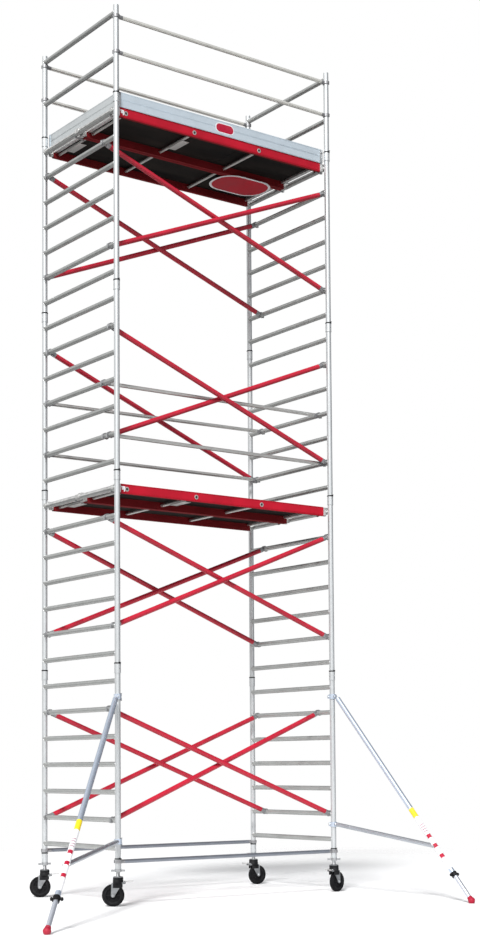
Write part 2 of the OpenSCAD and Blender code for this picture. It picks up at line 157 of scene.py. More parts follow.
def drawn_metal(name, color, grain, rough=(0.28, 0.42), metallic=0.9, cloud=0.1, lines=0.12):
    """Extruded or drawn metal: faint die lines along one axis, cloudy oxide, and a few dull scuffs."""
    m, tree, shader = new_material(name)
    along = stretched(tree, grain)
    plain = stretched(tree, (1, 1, 1))
    streaks = noise(tree, along, 6.0, 6.0)
    clouds = noise(tree, plain, 7.0, 5.0)
    scuffs = noise(tree, plain, 38.0, 8.0, 0.7)
    base = ramp(tree, clouds, [(0.3, scaled(color, 1 - cloud)), (0.7, scaled(color, 1 + cloud * 0.6))])
    marks = ramp(tree, scuffs, [(0.66, (0, 0, 0)), (0.74, (1, 1, 1))])
    tree.links.new(mix(tree, marks, base, scaled(color, 0.78)), shader.inputs["Base Color"])
    shader.inputs["Metallic"].default_value = metallic
    tree.links.new(to_range(tree, streaks, *rough), shader.inputs["Roughness"])
    fine = bump(tree, shader, streaks, lines, 0.6 * MM)
    bump(tree, shader, scuffs, 0.05, 0.3 * MM, fine)
    return m


def cast_metal(name, color, grain_size=220.0, rough=(0.35, 0.55), metallic=0.85, pits=0.35):
    """Sand-cast or zinc-plated metal: fine pitting and darker hollows."""
    m, tree, shader = new_material(name)
    plain = stretched(tree, (1, 1, 1))
    grains = noise(tree, plain, grain_size, 5.0, 0.6)
    stains = noise(tree, plain, 24.0, 5.0)
    base = ramp(tree, stains, [(0.32, scaled(color, 0.74)), (0.52, color), (0.75, scaled(color, 1.12))])
    tree.links.new(base, shader.inputs["Base Color"])
    shader.inputs["Metallic"].default_value = metallic
    tree.links.new(to_range(tree, grains, *rough), shader.inputs["Roughness"])
    bump(tree, shader, grains, pits, 0.5 * MM)
    return m


def powder_coat(name, color, rough=0.3, peel=0.12, chips=0.73, coat=0.35, shine=0.4):
    """Powder coat: orange peel, slight fading, and small chips down to bare metal."""
    m, tree, shader = new_material(name)
    plain = stretched(tree, (1, 1, 1))
    peeling = noise(tree, plain, 420.0, 2.0)
    fade = noise(tree, plain, 3.5, 4.0)
    flakes = noise(tree, plain, 55.0, 9.0, 0.72)
    base = ramp(tree, fade, [(0.35, scaled(color, 0.86)), (0.65, scaled(color, 1.1))])
    bare = ramp(tree, flakes, [(chips, (0, 0, 0)), (chips + 0.015, (1, 1, 1))])
    tree.links.new(mix(tree, bare, base, (0.5, 0.45, 0.44)), shader.inputs["Base Color"])
    tree.links.new(to_range(tree, fade, rough - 0.06, rough + 0.1), shader.inputs["Roughness"])
    shader.inputs["Coat Weight"].default_value = coat
    shader.inputs["Specular IOR Level"].default_value = shine
    shader.inputs["Coat Roughness"].default_value = 0.18
    first = bump(tree, shader, peeling, peel, 0.4 * MM)
    bump(tree, shader, flakes, 0.05, 0.3 * MM, first)
    return m


def moulded(name, color, rough=(0.45, 0.62), grain_size=700.0, depth=0.25, dust=0.04, shine=0.3):
    """Moulded plastic or rubber: fine grain with a little dust in it."""
    m, tree, shader = new_material(name)
    plain = stretched(tree, (1, 1, 1))
    grains = noise(tree, plain, grain_size, 3.0)
    dusty = noise(tree, plain, 16.0, 6.0, 0.6)
    dusted = tuple(c + dust for c in color)
    tree.links.new(ramp(tree, dusty, [(0.42, color), (0.72, dusted)]), shader.inputs["Base Color"])
    tree.links.new(to_range(tree, dusty, *rough), shader.inputs["Roughness"])
    shader.inputs["Specular IOR Level"].default_value = shine
    bump(tree, shader, grains, depth, 0.4 * MM)
    return m


def phenolic_board(name):
    """Film-faced plywood: nearly black, with a pressed wire-mesh grip pattern and worn lighter tracks."""
    m, tree, shader = new_material(name)
    plain = stretched(tree, (1, 1, 1))
    mesh = add(tree, "ShaderNodeTexVoronoi", feature="DISTANCE_TO_EDGE")
    mesh.inputs["Scale"].default_value = 110.0
    mesh.inputs["Randomness"].default_value = 0.12
    tree.links.new(plain, mesh.inputs["Vector"])
    tracks = noise(tree, stretched(tree, (0.6, 3.0, 1.0)), 2.2, 6.0)
    specks = noise(tree, plain, 160.0, 4.0)
    base = ramp(tree, tracks, [(0.35, (0.006, 0.006, 0.006)), (0.75, (0.03, 0.025, 0.022))])
    worn = ramp(tree, specks, [(0.6, (0, 0, 0)), (0.8, (0.4, 0.4, 0.4))])
    tree.links.new(mix(tree, worn, base, (0.09, 0.075, 0.065)), shader.inputs["Base Color"])
    tree.links.new(to_range(tree, tracks, 0.6, 0.75), shader.inputs["Roughness"])
    shader.inputs["Specular IOR Level"].default_value = 0.06
    bump(tree, shader, to_range(tree, mesh.outputs["Distance"], 0, 1, 0.0, 0.12), 0.35, 0.8 * MM)
    return m


def threaded(name, color, pitch):
    """Plated steel with a rolled thread along Z, and painted shade darkening the thread's grooves."""
    m, tree, shader = new_material(name)
    plain = stretched(tree, (1, 1, 1))
    wave = add(tree, "ShaderNodeTexWave", wave_type="BANDS", bands_direction="Z", wave_profile="SIN")
    wave.inputs["Scale"].default_value = math.pi / (10 * pitch)
    tree.links.new(plain, wave.inputs["Vector"])
    grains = noise(tree, plain, 120.0, 5.0)
    # painted shade: the colour falls to 0.45 of the steel's in the thread's grooves
    crests_and_painted_groove_shade = ramp(tree, wave.outputs["Fac"], [(0.1, scaled(color, 0.45)), (0.6, color)])
    tree.links.new(crests_and_painted_groove_shade, shader.inputs["Base Color"])
    shader.inputs["Metallic"].default_value = 0.9
    tree.links.new(to_range(tree, grains, 0.25, 0.4), shader.inputs["Roughness"])
    bump(tree, shader, wave.outputs["Fac"], 0.8, 2 * MM)
    return m


ALONG_X, ALONG_Y, ALONG_Z = (6, 220, 220), (220, 6, 220), (220, 220, 6)
GREY = (0.46, 0.47, 0.46)
BRIGHT = (0.62, 0.64, 0.65)

mat = {
    "post": drawn_metal("extruded_post_aluminium", BRIGHT, ALONG_Z, (0.36, 0.48), 0.7, 0.05, 0.04),
    "rung": drawn_metal("ribbed_rung_aluminium", GREY, ALONG_Y, (0.36, 0.5), 0.8, 0.08, 0.3),
    "rail": drawn_metal("guardrail_aluminium", (0.60, 0.60, 0.58), ALONG_X, (0.34, 0.5), 0.8, 0.08),
    "pale_rail": drawn_metal("top_rail_aluminium", (0.82, 0.81, 0.76), ALONG_X, (0.36, 0.5), 0.6, 0.06),
    "base_rail": drawn_metal("base_rail_aluminium", (0.27, 0.29, 0.33), ALONG_X, (0.34, 0.48), 0.8, 0.08),
    "claw": cast_metal("cast_claw", (0.36, 0.36, 0.37), 220.0, (0.4, 0.58)),
    "stabiliser": drawn_metal("stabiliser_aluminium", (0.66, 0.74, 0.86), ALONG_Z, (0.25, 0.38), 0.8, 0.05),
    "arm": drawn_metal("stabiliser_arm_aluminium", (0.50, 0.53, 0.57), ALONG_X, (0.32, 0.46), 0.85, 0.08),
    "inner": drawn_metal("inner_tube_aluminium", (0.68, 0.71, 0.78), ALONG_Z, (0.22, 0.34), 0.75, 0.05),
    "toe": drawn_metal("anodised_toe_board", (0.67, 0.76, 0.83), ALONG_X, (0.3, 0.42), 0.55, 0.06),
    "toe_short": drawn_metal("anodised_end_toe_board", (0.56, 0.59, 0.60), ALONG_Y, (0.34, 0.46), 0.55, 0.06),
    "cast": cast_metal("cast_aluminium", (0.70, 0.70, 0.69)),
    "fork": cast_metal("pressed_fork_steel", (0.30, 0.31, 0.32), 320.0, (0.3, 0.46), 0.9, 0.12),
    "zinc": cast_metal("zinc_plated_steel", (0.50, 0.51, 0.52), 320.0, (0.26, 0.42), 0.92, 0.12),
    "weld": cast_metal("weld_bead", (0.62, 0.62, 0.62), 500.0, (0.3, 0.5), 0.85, 0.25),
    "red": powder_coat("red_powder_coat", (0.47, 0.010, 0.032), 0.34, 0.12, 0.73, 0.15),
    "deep_red": powder_coat("deep_red_plank_coat", (0.46, 0.006, 0.022), 0.46, 0.16, 0.72, 0.03, 0.2),
    "black": moulded("black_moulding", (0.006, 0.006, 0.007), (0.45, 0.62), 700.0, 0.25, 0.015, 0.15),
    # a darker copy of the plank coat: painted shade for the plank rails' inner and lower faces
    "painted_shade_red": powder_coat("painted_shade_inner_plank_coat", (0.19, 0.012, 0.015), 0.6, 0.16, 0.72, 0.0, 0.08),
    "rubber": moulded("wheel_rubber", (0.004, 0.004, 0.005), (0.6, 0.8), 500.0, 0.4, 0.01, 0.12),
    "red_rubber": moulded("red_foot_rubber", (0.36, 0.012, 0.035), (0.4, 0.55), 500.0, 0.3, 0.03, 0.2),
    "board": phenolic_board("phenolic_plywood"),
    "thread": threaded("rolled_thread", (0.66, 0.67, 0.68), 6 * MM),
    "yellow": moulded("yellow_band", (0.80, 0.62, 0.02), (0.35, 0.5), 300.0, 0.06, 0.02),
    "white": moulded("white_band", (0.80, 0.80, 0.82), (0.35, 0.5), 300.0, 0.06, 0.01),
    "mark_red": moulded("red_mark", (0.42, 0.008, 0.035), (0.35, 0.5), 300.0, 0.06, 0.02, 0.2),
    "faint_mark": moulded("grey_mark", (0.42, 0.28, 0.32), (0.35, 0.5), 300.0, 0.06, 0.02, 0.2),
}

NODE_MATERIAL = {
    "locking_rings": "black", "brace_claws": "claw", "claw_latches": "zinc",
    "plank_panels_upper": "board", "plank_panels_lower": "board",
    "hatch_upper": "board", "hatch_lower": "board",
    "plank_cross_tubes": "rail", "plank_hooks": "cast",
    "toe_boards_long": "toe", "toe_boards_short": "toe_short",
    "toe_board_clips": "zinc", "hatch_hinges": "zinc", "wind_locks": "zinc", "wing_nuts": "zinc",
}
PREFIX_MATERIAL = (
    ("diagonal_braces", "red"), ("castor_leg", "thread"), ("castor_fork", "fork"),
    ("castor_wheel", "rubber"), ("castor_brake", "cast"), ("stabiliser_outer_tube", "stabiliser"),
    ("stabiliser_arm", "arm"), ("stabiliser_clamp", "black"), ("stabiliser_inner_tube", "inner"),
    ("stabiliser_foot", "red_rubber"),
)


def set_materials(obj, *names):
    obj.data.materials.clear()
    for name in names:
        obj.data.materials.append(mat[name])


def near_post(point):
    """True on the posts and their collars, whose metal is smoother than the rungs'."""
    return min(abs(point.y - Y0), abs(point.y - Y1)) < COLLAR_R + 0.5 * MM


for name, obj in nodes.items():
    if name.startswith(("frame_", "guard_frame_")):
        set_materials(obj, "post", "rung")
        for face in obj.data.polygons:
            face.material_index = 0 if near_post(face.center) else 1
    elif name == "horizontal_braces":
        set_materials(obj, "rail", "base_rail", "pale_rail")
        for face in obj.data.polygons:
            face.material_index = 1 if face.center.z < FIRST else 2 if face.center.z > UPPER else 0
    elif name.startswith("plank_rails"):
        set_materials(obj, "deep_red", "painted_shade_red")
        low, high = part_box(name)
        outer_y = low.y if name.endswith("front") else high.y
        # outer faces and tops get the plank coat; all other faces get its darker copy, which is painted shade
        for face in obj.data.polygons:
            face.material_index = 0 if abs(face.center.y - outer_y) < 1 * MM or face.normal.z > 0.9 else 1
    elif name in NODE_MATERIAL:
        set_materials(obj, NODE_MATERIAL[name])
    else:
        set_materials(obj, next(m for prefix, m in PREFIX_MATERIAL if name.startswith(prefix)))

# ---------- mesh helpers ----------


def frame_along(direction):
    """A rotation whose Z axis is the direction."""
    return Vector(direction).to_track_quat("Z", "Y").to_matrix().to_4x4()


def lathe(bm, profile, place, sides=32):
    """Revolves (radius, height) points round the Z axis of place. A radius of 0 closes an end."""
    rings = []
    for r, z in profile:
        if r == 0:
            rings.append([bm.verts.new(place @ Vector((0, 0, z)))])
        else:
            turn = [2 * math.pi * i / sides for i in range(sides)]
            rings.append([bm.verts.new(place @ Vector((r * math.cos(a), r * math.sin(a), z))) for a in turn])
    for a, b in zip(rings, rings[1:]):
        for i in range(sides):
            j = (i + 1) % sides
            quad = [a[i % len(a)], a[j % len(a)], b[j % len(b)], b[i % len(b)]]
            corners = list(dict.fromkeys(quad))
            if len(corners) > 2:
                bm.faces.new(corners)


def sweep(bm, points, radius, sides=8, closed=False):
    """A round tube along points; radius is a number or a function of the point's index."""
    rings = []
    count = len(points)
    for i, p in enumerate(points):
        before = points[i - 1] if closed or i else p
        after = points[(i + 1) % count] if closed or i < count - 1 else p
        turn = frame_along(after - before)
        r = radius(i) if callable(radius) else radius
        angles = [2 * math.pi * k / sides for k in range(sides)]
        rings.append([bm.verts.new(p + turn @ Vector((r * math.cos(a), r * math.sin(a), 0))) for a in angles])
    pairs = list(zip(rings, rings[1:])) + ([(rings[-1], rings[0])] if closed else [])
    for a, b in pairs:
        shift = min(range(sides), key=lambda s: (a[0].co - b[s].co).length) if closed else 0
        for k in range(sides):
            bm.faces.new([a[k], a[(k + 1) % sides], b[(k + 1 + shift) % sides], b[(k + shift) % sides]])
    if not closed:
        bm.faces.new(reversed(rings[0]))
        bm.faces.new(rings[-1])


def plate(bm, low, high, place=None, bevel=1 * MM):
    """A box with rounded edges, between two corners."""
    low, high = Vector(low), Vector(high)
    made = bmesh.ops.create_cube(bm, size=1.0)["verts"]
    size, centre = high - low, (low + high) / 2
    for v in made:
        v.co = Vector(a * b for a, b in zip(v.co, size)) + centre
    if place is not None:
        bmesh.ops.transform(bm, matrix=place, verts=made)
    edges = list({e for v in made for e in v.link_edges})
    offset = min(bevel, 0.3 * min(size))
    bmesh.ops.bevel(bm, geom=edges, offset=offset, segments=2, affect="EDGES", profile=0.6)


def rounded_plate(bm, place, length, height, corner, thickness):
    """A flat plate with rounded corners: length along X, height along Y, standing on the place's XY plane."""
    outline = []
    for k, (sx, sy) in enumerate(((1, 1), (-1, 1), (-1, -1), (1, -1))):
        for step in range(9):
            a = math.radians(90 * k + 90 * step / 8)
            outline.append((sx * (length / 2 - corner) + corner * math.cos(a),
                            sy * (height / 2 - corner) + corner * math.sin(a)))
    back, front = ([bm.verts.new(place @ Vector((x, y, z))) for x, y in outline] for z in (0, thickness))
    bm.faces.new(list(reversed(back)))
    bm.faces.new(front)
    for k in range(len(outline)):
        n = (k + 1) % len(outline)
        bm.faces.new([back[k], back[n], front[n], front[k]])


def dome(bm, place, radius, height=None, sides=14):
    """A rivet's or bolt's rounded head."""
    h = height or radius * 0.55
    steps = [math.pi / 2 * k / 4 for k in range(1, 4)]
    curve = [(radius * math.cos(a), h * math.sin(a)) for a in steps]
    lathe(bm, [(0, 0), (radius, 0), *curve, (0, h)], place, sides)


def hexagon(bm, place, across, height):
    """A hexagonal bolt head or nut with a chamfered top."""
    r = across / math.sqrt(3)
    lathe(bm, [(0, 0), (r, 0), (r, height * 0.8), (r * 0.86, height), (0, height)], place, 6)


def piece(name, bm, material, body, smooth=35):
    """Turns the built mesh into a named piece that rides on a body, smooth up to an angle in degrees."""
    bmesh.ops.recalc_face_normals(bm, faces=bm.faces)
    mesh = bpy.data.meshes.new(name)
    bm.to_mesh(mesh)
    bm.free()
    mesh.materials.append(mat[material])
    obj = bpy.data.objects.new(name, mesh)
    bpy.context.scene.collection.objects.link(obj)
    for face in mesh.polygons:
        face.use_smooth = True
    mesh.set_sharp_from_angle(angle=math.radians(smooth))
    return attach(obj, body)


def at(x, y, z, direction=(0, 0, 1)):
    """A place at a point, with its Z axis along the direction."""
    return Matrix.Translation((x, y, z)) @ frame_along(direction)


# ---------- ladder frames ----------


def weld_ring(bm, x, y, z, toward):
    """A rippled bead where a rung meets its post, along the curve the two tubes share."""
    points = []
    steps = 40
    bead_r = RUNG_R + 1 * MM
    for k in range(steps):
        a = 2 * math.pi * k / steps
        dx, dz = bead_r * math.cos(a), bead_r * math.sin(a)
        dy = math.sqrt(POST_R ** 2 - min(dx, POST_R) ** 2 + 1e-6)
        points.append(Vector((x + dx, y + toward * dy, z + dz)))
    sweep(bm, points, lambda i: (2.6 + 0.5 * (i % 2)) * MM, 6, closed=True)


for side, x in zip(SIDES, (X0, X1)):
    bm = bmesh.new()
    for z in RUNG_HEIGHTS:
        weld_ring(bm, x, Y0, z, 1)
        weld_ring(bm, x, Y1, z, -1)
    piece("rung_welds_" + side, bm, "weld", "tower", 60)


def collar_details():
    """Dimple rivets and a rolled lip on every frame collar, and the sprung hook on every locking ring."""
    rivets, lips, hooks = bmesh.new(), bmesh.new(), bmesh.new()
    for c in CORNERS:
        out_y = -1 if post[c].y == Y0 else 1
        for level in range(5):
            z = FIRST + level * FRAME_H - COLLAR_TOP_DROP
            for dx, dy in ((-1, 0), (0, out_y)):
                direction = Vector((dx, dy, 0))
                spot = Vector((post[c].x, post[c].y, z - 45 * MM)) + direction * (COLLAR_R - 0.5 * MM)
                dome(rivets, at(*spot, direction), 6 * MM, 2.5 * MM)
            r = COLLAR_R + 0.2 * MM
            lip = [(r, 0), (r + 1.6 * MM, 1 * MM), (r + 1.6 * MM, 4 * MM), (r, 5 * MM)]
            lathe(lips, lip, Matrix.Translation((post[c].x, post[c].y, z - 84.5 * MM)), 40)
            start = Vector((post[c].x, post[c].y + out_y * 33 * MM, z + 6 * MM))
            loop = [Vector((9 * MM * math.cos(t), out_y * 9 * MM * math.sin(t), 0)) for t in
                    [math.pi * k / 8 for k in range(9)]]
            sweep(hooks, [start + Vector((0, out_y * 5 * MM, 6 * MM)) + p for p in loop], 2.2 * MM, 8)
    piece("collar_rivets", rivets, "zinc", "tower")
    piece("collar_lips", lips, "post", "tower")
    piece("locking_ring_grips", hooks, "black", "tower")


collar_details()

# ---------- planks ----------

PLANKS = {
    (level, row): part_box(f"plank_rails_{level}_{row}")
    for level in ("upper", "lower")
    for row in ("front", "rear")
}
RAIL_W = 30 * MM
RIB_DEPTH = 1.6 * MM
FLARED_CUP = ((15.1, -1), (22, 0), (21.5, 1.6), (17.5, 3), (13, 2.2), (12.2, -6))
PANEL_RIVETS = 17
DECK_Z = {"upper": UPPER, "lower": LOWER}
tube_low, tube_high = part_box("plank_cross_tubes")
CROSS_X = [tube_low.x + 15 * MM + k * (tube_high.x - tube_low.x - 30 * MM) / 2 for k in range(3)]


def plank_details():
    """Rail ribs, a flared cup where each cross tube comes through, rivets, gussets and end beams."""
    ribs, flares, rivets, gussets, pads = (bmesh.new() for _ in range(5))
    for (level, row), (low, high) in PLANKS.items():
        z = DECK_Z[level]
        for face_y, out in ((low.y, -1), (high.y, 1)):
            for dz in (-36, -30, 36, 41):
                start = (low.x + 2 * MM, min(face_y, face_y + out * RIB_DEPTH), z + dz * MM)
                end = (high.x - 2 * MM, max(face_y, face_y + out * RIB_DEPTH), z + dz * MM + 2.4 * MM)
                plate(ribs, start, end, bevel=0.7 * MM)
            for x in CROSS_X:
                lathe(flares, [(r * MM, h * MM) for r, h in FLARED_CUP], at(x, face_y, z, (0, out, 0)), 28)
        for inner_y in (low.y + RAIL_W + 14 * MM, high.y - RAIL_W - 14 * MM):
            for k in range(PANEL_RIVETS):
                x = low.x + 40 * MM + k * (high.x - low.x - 80 * MM) / (PANEL_RIVETS - 1)
                dome(rivets, at(x, inner_y, z + 42 * MM), 6 * MM, 1.6 * MM)
        x = CROSS_X[1] if row == "front" else CROSS_X[0]
        mid = (low.y + high.y) / 2
        under, over = z - 19 * MM, z - 15.2 * MM
        plate(gussets, (x - 14 * MM, mid - 120 * MM, under), (x + 70 * MM, mid + 120 * MM, over))
        for dy in (-100, 100):
            dome(gussets, at(x + 50 * MM, mid + dy * MM, under, (0, 0, -1)), 6 * MM)
        for x in (low.x + 2 * MM, high.x - 42 * MM):
            far = (x + 40 * MM, high.y - RAIL_W, z + 29 * MM)
            plate(pads, (x, low.y + RAIL_W, z + 4 * MM), far, bevel=3 * MM)
    piece("plank_rail_ribs", ribs, "deep_red", "tower")
    piece("cross_tube_flares", flares, "rail", "tower")
    piece("panel_rivets", rivets, "zinc", "tower")
    piece("plank_gussets", gussets, "rail", "tower")
    piece("plank_end_beams", pads, "cast", "tower")


plank_details()


def plank_brackets_and_sign():
    """Small cast brackets near the left end of each outer rail, and a plain sign under one plank."""
    brackets, sign, border = bmesh.new(), bmesh.new(), bmesh.new()
    for (level, row), (low, high) in PLANKS.items():
        z = DECK_Z[level]
        face_y, out = (low.y, -1) if row == "front" else (high.y, 1)
        for x0, thick, z0, z1, wide in ((70, 5, -8, 24, 34), (92, 8, -24, -8, 10), (62, 8, 12, 24, 8)):
            a, b = sorted((face_y, face_y + out * thick * MM))
            plate(brackets, (X0 + x0 * MM, a, z + z0 * MM), (X0 + (x0 + wide) * MM, b, z + z1 * MM))
        dome(brackets, at(X0 + 87 * MM, face_y + out * 5 * MM, z + 8 * MM, (0, out, 0)), 5 * MM)
    under = PLANKS[("upper", "rear")][0].z - 1 * MM
    place = Matrix.Translation((X0 + 2010 * MM, Y0 + 815 * MM, under)) @ Matrix.Rotation(math.pi, 4, "X")
    rounded_plate(border, place, 660 * MM, 440 * MM, 200 * MM, 3 * MM)
    rounded_plate(sign, place, 610 * MM, 390 * MM, 176 * MM, 4.5 * MM)
    piece("plank_end_brackets", brackets, "white", "tower")
    piece("underside_plain_sign", sign, "deep_red", "tower")
    piece("underside_sign_border", border, "white", "tower")


plank_brackets_and_sign()


def hatch_details():
    """A finger-hole rim, edge rivets and two hinge leaves on each hatch."""
    for level in ("upper", "lower"):
        low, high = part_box("hatch_" + level)
        frame_edge, leaves = bmesh.new(), bmesh.new()
        centre = Vector(((low.x + high.x) / 2, high.y - 56 * MM, high.z))
        oval = []
        for k in range(40):
            a = 2 * math.pi * k / 40
            oval.append(centre + Vector((22 * MM * math.cos(a) + math.copysign(30 * MM, math.cos(a)),
                                         22 * MM * math.sin(a), 0.6 * MM)))
        sweep(frame_edge, oval, 2 * MM, 8, closed=True)
        for k in range(11):
            for y in (low.y + 14 * MM, high.y - 14 * MM):
                x = low.x + 20 * MM + k * (high.x - low.x - 40 * MM) / 10
                dome(frame_edge, at(x, y, high.z), 5 * MM, 1.4 * MM)
        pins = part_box("hatch_hinges")
        for x in (pins[0].x, pins[1].x - 40 * MM):
            leaf_top = high.z + 2.4 * MM
            plate(leaves, (x + 3 * MM, low.y + 1 * MM, high.z), (x + 37 * MM, low.y + 46 * MM, leaf_top))
            for dy in (16, 34):
                dome(leaves, at(x + 20 * MM, low.y + dy * MM, leaf_top), 4 * MM)
        piece("hatch_rim_" + level, frame_edge, "zinc", "hatch_" + level)
        piece("hatch_hinge_leaves_" + level, leaves, "zinc", "hatch_" + level)


hatch_details()

# ---------- toe boards ----------

TOE_RIBS = (6, 66, 74, 130)


def toe_details():
    """Pressed ribs on every toe board, and end plates and a plain label on the long ones."""
    ribs, ribs_short, ends, label, border = (bmesh.new() for _ in range(5))
    low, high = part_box("toe_boards_long")
    for face_y, out in ((low.y, -1), (high.y, 1)):
        for dz in TOE_RIBS:
            a, b = sorted((face_y, face_y + out * 1.5 * MM))
            plate(ribs, (low.x, a, low.z + dz * MM), (high.x, b, low.z + (dz + 3) * MM), bevel=0.7 * MM)
        for x0 in (low.x, high.x - 34 * MM):
            a, b = sorted((face_y, face_y + out * 3 * MM))
            plate(ends, (x0, a, low.z + 4 * MM), (x0 + 34 * MM, b, high.z - 4 * MM), bevel=1 * MM)
            for dz in (40, 100):
                dome(ends, at(x0 + 17 * MM, face_y + out * 3 * MM, low.z + dz * MM, (0, out, 0)), 5 * MM)
    slow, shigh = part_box("toe_boards_short")
    for face_x, out in ((slow.x, -1), (shigh.x, 1)):
        for dz in TOE_RIBS:
            a, b = sorted((face_x, face_x + out * 1.5 * MM))
            rib_z = slow.z + dz * MM
            plate(ribs_short, (a, slow.y, rib_z), (b, shigh.y, rib_z + 3 * MM), bevel=0.7 * MM)
    spot = at((low.x + high.x) / 2, low.y, low.z + 70 * MM, (0, -1, 0))
    rounded_plate(border, spot, 218 * MM, 96 * MM, 46 * MM, 1.7 * MM)
    rounded_plate(label, spot, 202 * MM, 80 * MM, 39 * MM, 2.4 * MM)
    piece("toe_board_ribs", ribs, "toe", "tower")
    piece("end_toe_board_ribs", ribs_short, "toe_short", "tower")
    piece("toe_board_end_plates", ends, "zinc", "tower")
    piece("toe_board_plain_label", label, "mark_red", "tower")
    piece("toe_board_label_border", border, "white", "tower")


toe_details()

# ---------- castors ----------

TRAIL = 44 * MM
WHEEL_R = 100 * MM
PEDAL_X = -57 * MM
PEDAL_Z = 216 * MM
TREAD_BAND = ((-1.05, -2), (0, -1.4), (0, 1.4), (-1.05, 2))
CROWN_COVER = ((44.3, -62), (47, -59), (47, -34), (44.4, -29), (46, -24), (46, -10), (43, -3), (36, 0.2),
               (20, 0.35))


def castor_place(c):
    """The castor's own axes, found from the wheel: X from the post to the wheel's centre, Z up."""
    wheel = middle("castor_wheel_" + c)
    turn = math.atan2(wheel.y - post[c].y, wheel.x - post[c].x)
    return Matrix.Translation((post[c].x, post[c].y, 0)) @ Matrix.Rotation(turn, 4, "Z")


def castor_details(c):
    """A crown cover, axle and pedal nuts, a hub with eight spokes, tread bands and pedal ridges."""
    place = castor_place(c)
    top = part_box("castor_fork_" + c)[1].z
    crown, nuts, tread, hub, ridges = (bmesh.new() for _ in range(5))
    lathe(crown, [(r * MM, z * MM) for r, z in CROWN_COVER], place @ Matrix.Translation((0, 0, top)), 48)
    for s in (-1, 1):
        hexagon(nuts, place @ at(TRAIL, s * 31 * MM, WHEEL_R, (0, s, 0)), 19 * MM, 7 * MM)
        hexagon(nuts, place @ at(PEDAL_X, s * 25 * MM, PEDAL_Z, (0, s, 0)), 9 * MM, 7 * MM)
        a, b = sorted((s * 31.1 * MM, s * 34 * MM))
        plate(crown, (-38 * MM, a, 166 * MM), (44 * MM, b, 207 * MM), place, 1.2 * MM)
        rim = [(66 * MM, 15.2 * MM), (69.5 * MM, 17.4 * MM), (73 * MM, 17.4 * MM), (76 * MM, 17.0 * MM)]
        lathe(hub, rim, place @ at(TRAIL, 0, WHEEL_R, (0, s, 0)), 64)
        for k in range(8):
            a = math.pi / 4 * k
            spoke = [
                place @ Vector((TRAIL + r * MM * math.cos(a), s * y * MM, WHEEL_R + r * MM * math.sin(a)))
                for r, y in ((27, 12), (43, 11), (62, 12))
            ]
            sweep(hub, spoke, 3 * MM, 8)
    for y in (-9, 0, 9):
        band = [(WHEEL_R + dr * MM, (y + dy) * MM) for dr, dy in TREAD_BAND]
        lathe(tread, band, place @ at(TRAIL, 0, WHEEL_R, (0, 1, 0)), 96)
    for k in range(5):
        x = PEDAL_X - (33 + 8 * k) * MM
        plate(ridges, (x, -15 * MM, 223 * MM), (x + 3 * MM, 15 * MM, 225 * MM), place, 0.6 * MM)
    piece("castor_crown_cover_" + c, crown, "black", "castor_fork_" + c)
    piece("castor_axle_nuts_" + c, nuts, "zinc", "castor_fork_" + c)
    piece("castor_tread_bands_" + c, tread, "rubber", "castor_wheel_" + c)
    piece("castor_hub_rim_" + c, hub, "black", "castor_wheel_" + c)
    piece("castor_pedal_ridges_" + c, ridges, "cast", "castor_brake_" + c)


for c in CORNERS:
    castor_details(c)

# ---------- stabilisers ----------

joints = {j["name"]: j for j in frame["joints"]}
TELESCOPE_R = 24 * MM
TOE_Z = 10 * MM
EAR = 59.5 * MM
# Places along the leg, as fractions of its length from the top coupler to the toe
YELLOW_BAND = (0.572, 0.612)
WHITE_BAND = (0.613, 0.85)
RED_MARKS = (0.695, 0.739, 0.786)
FAINT_MARKS = (0.648, 0.658, 0.668, 0.678)
JOIN_AT, KNOBS_AT, FOOT_COLLAR_AT = 0.747, 0.876, 0.977
COUPLER_HEIGHTS = {"left": (1355 * MM, 60 * MM), "right": (1405 * MM, 145 * MM)}


def curved_mark(bm, spot, line, length, half_angle):
    """A rectangle wrapped on the outside of the tube, facing the front left."""
    turn = at(*spot, line)
    face = turn.inverted() @ (spot + Vector((-0.55, -0.83, 0)))
    start = math.atan2(face.y, face.x)
    arc = [start + math.radians(half_angle * (k / 6 - 1)) for k in range(13)]
    r = TELESCOPE_R + 1.0 * MM
    points = [[Vector((r * math.cos(b), r * math.sin(b), z)) for b in arc] for z in (0, length)]
    rows = [[bm.verts.new(turn @ point) for point in row] for row in points]
    for k in range(12):
        bm.faces.new([rows[0][k], rows[0][k + 1], rows[1][k + 1], rows[1][k]])


